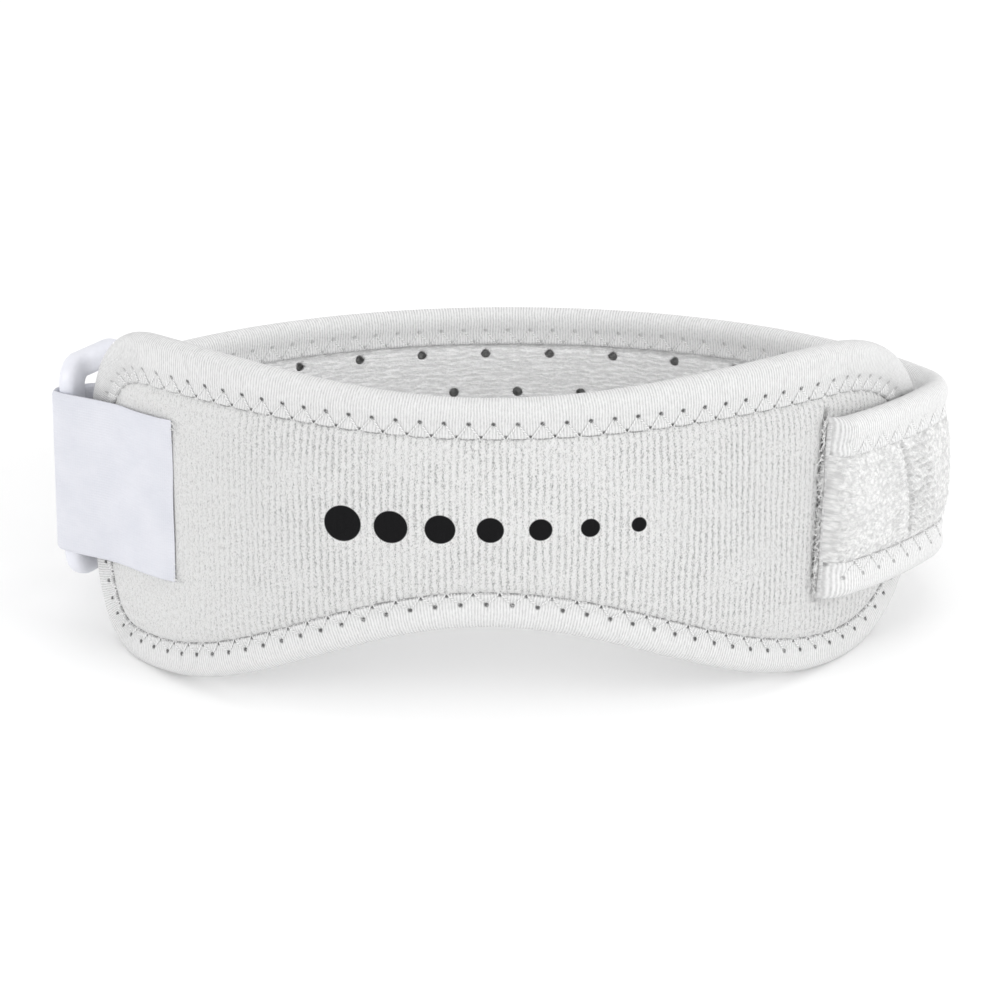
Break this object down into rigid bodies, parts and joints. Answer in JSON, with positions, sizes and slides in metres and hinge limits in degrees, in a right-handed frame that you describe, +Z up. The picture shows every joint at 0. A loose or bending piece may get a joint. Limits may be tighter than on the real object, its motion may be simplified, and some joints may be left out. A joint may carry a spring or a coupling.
{
  "type": "patella strap",
  "caption": "White patella strap: padded hourglass front panel with bound edges, perforated back strap, plastic ring and hook tape, closed in a loop.",
  "frame": {"origin": "middle of the base of the bounding box, on the surface the strap stands on", "axes": "+X to the side with the sewn strap end, -Y the way the padded panel faces, +Z up"},
  "size_m": [0.14, 0.0894, 0.0531],
  "materials": {
    "panel_knit": "matte off-white ribbed knit over foam",
    "binding_tape": "white stretch binding, finely ribbed, soft sheen",
    "loop_cloth": "fuzzy off-white loop cloth",
    "lining_knit": "matte light grey knit with punched holes",
    "hook_tape": "bluish-white woven nylon hook tape, slight sheen",
    "ring_plastic": "bluish-white moulded plastic, satin gloss",
    "webbing": "white woven webbing"
  },
  "bodies": {
    "root": {"front_pad": "panel_knit", "front_binding": "binding_tape", "strap_cover": "loop_cloth", "strap_lining": "lining_knit", "strap_binding_top": "binding_tape", "strap_binding_bottom": "binding_tape", "hook_tape": "hook_tape", "slide_ring": "ring_plastic", "ring_tab": "webbing"}
  },
  "joints": []
}
